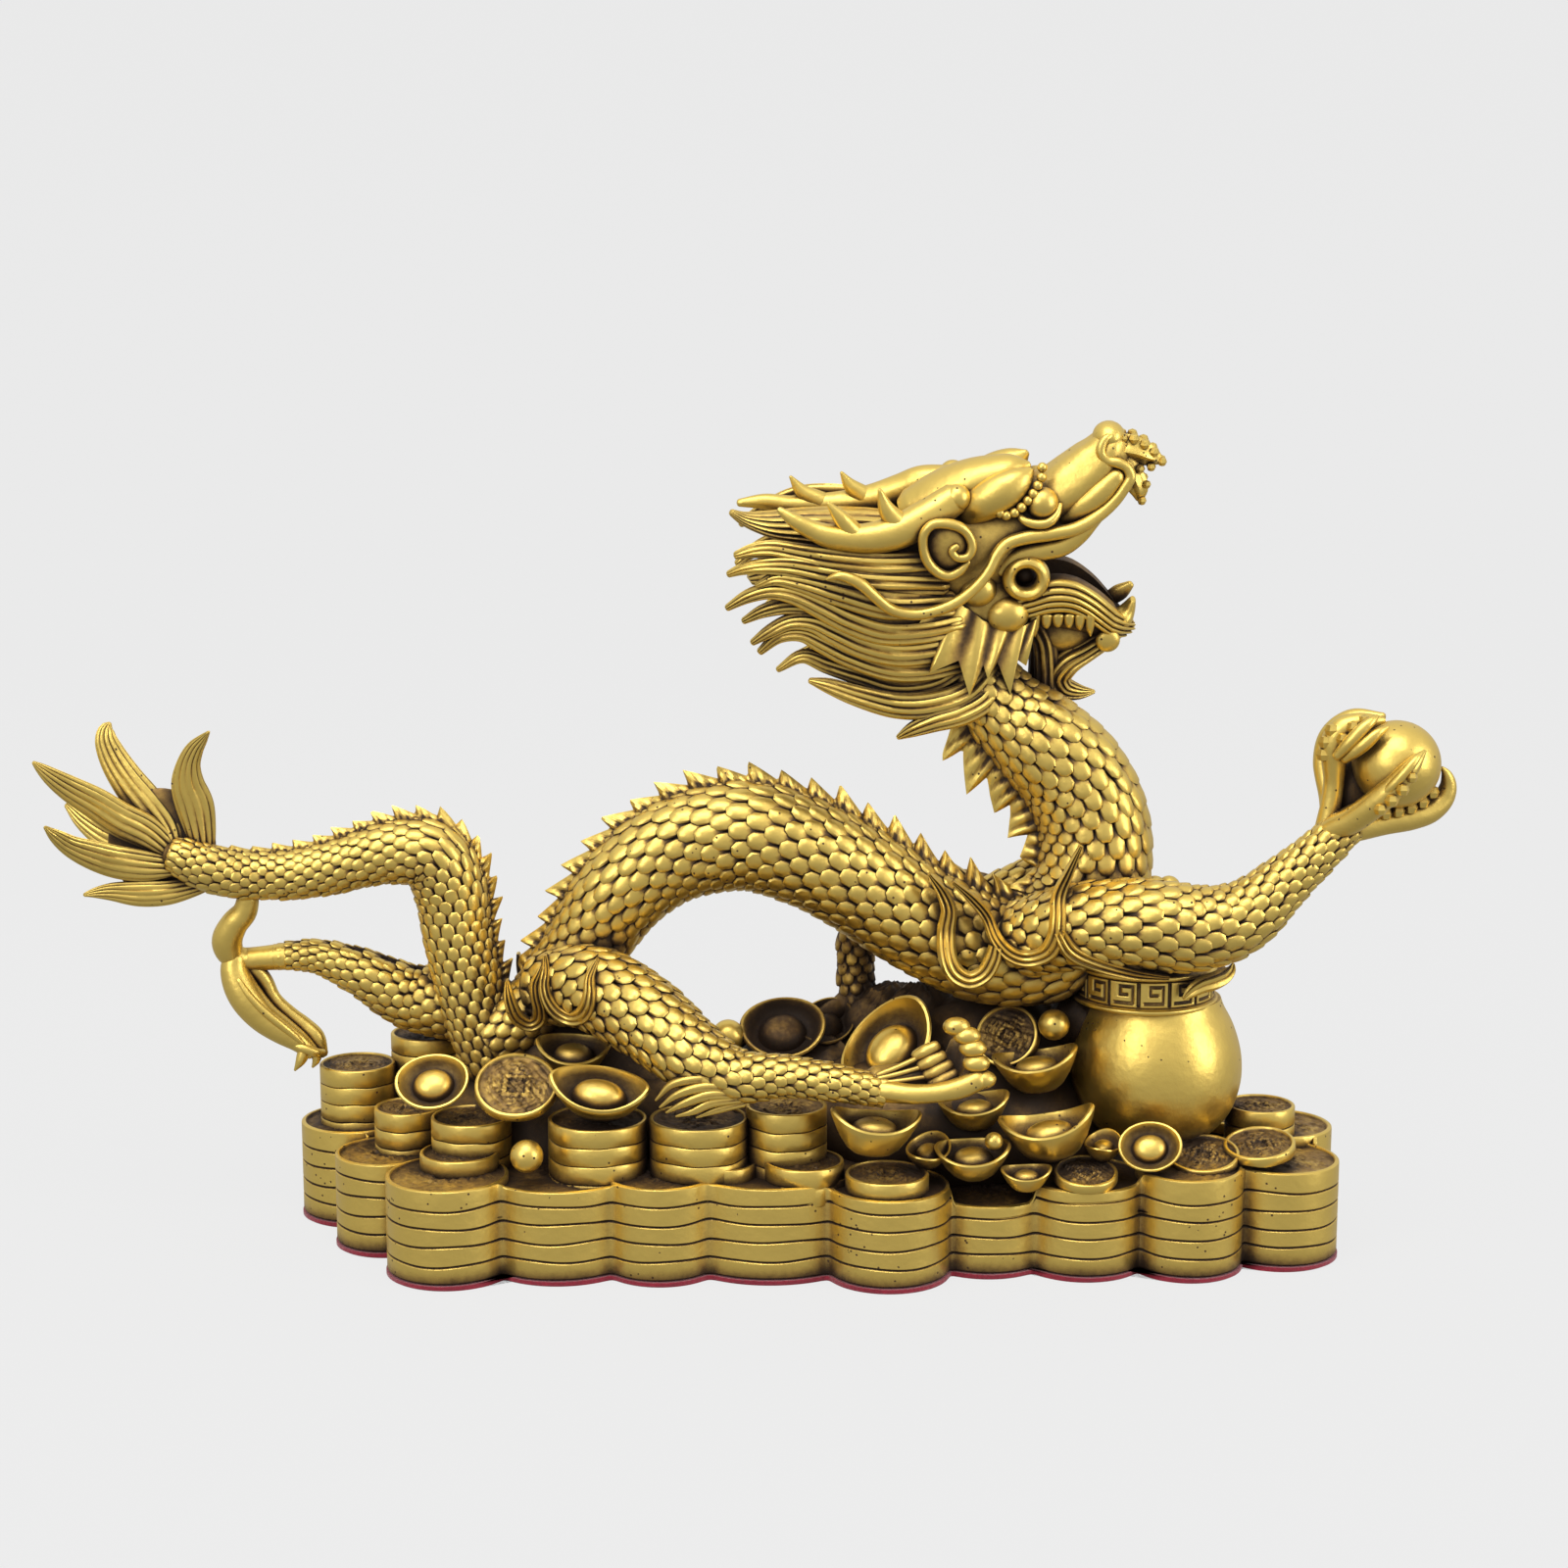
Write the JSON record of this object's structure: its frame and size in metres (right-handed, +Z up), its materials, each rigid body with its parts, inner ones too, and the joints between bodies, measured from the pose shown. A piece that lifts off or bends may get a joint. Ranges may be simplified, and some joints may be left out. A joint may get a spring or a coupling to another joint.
{
  "type": "dragon figurine",
  "caption": "Cast brass dragon holding a pearl in one claw over a bed of coins, boat-shaped ingots and a money pot, with red felt under it.",
  "frame": {"origin": "centre of the base's length and depth, on the underside of the felt", "axes": "+X the way the head faces, -Y the shown side, +Z up"},
  "size_m": [0.3635, 0.097, 0.2107],
  "materials": {
    "antique_brass": "polished high spots over dark brown patina",
    "red_felt": "matte felt"
  },
  "bodies": {
    "root": {"dragon_casting": "antique_brass", "base_felt": "red_felt"}
  },
  "joints": []
}
